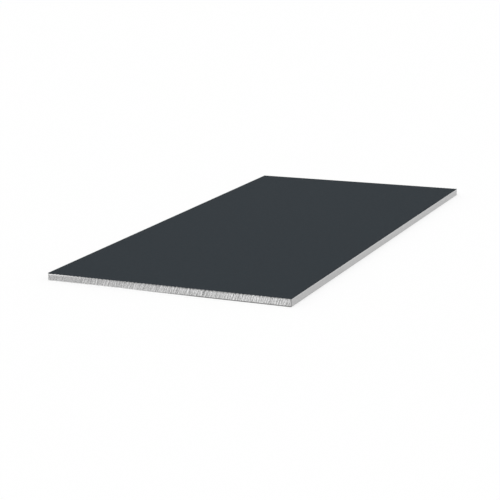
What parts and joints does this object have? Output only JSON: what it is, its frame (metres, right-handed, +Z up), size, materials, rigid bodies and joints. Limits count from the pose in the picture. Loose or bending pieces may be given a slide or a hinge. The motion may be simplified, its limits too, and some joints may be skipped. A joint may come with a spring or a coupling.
{
  "type": "painted aluminium sheet",
  "caption": "Flat rectangular blank of aluminium sheet with an anthracite painted upper face and bare cut edges, used as stock for panels, signs and covers.",
  "frame": {"origin": "middle of the underside, on the surface that the sheet lies on", "axes": "+X along the length, +Y across the width, +Z up through the thickness, out of the painted face"},
  "size_m": [0.2, 0.1, 0.003],
  "materials": {
    "anthracite_paint": "matte",
    "bare_aluminium": "satin"
  },
  "bodies": {
    "root": {"sheet": "anthracite_paint"}
  },
  "joints": []
}
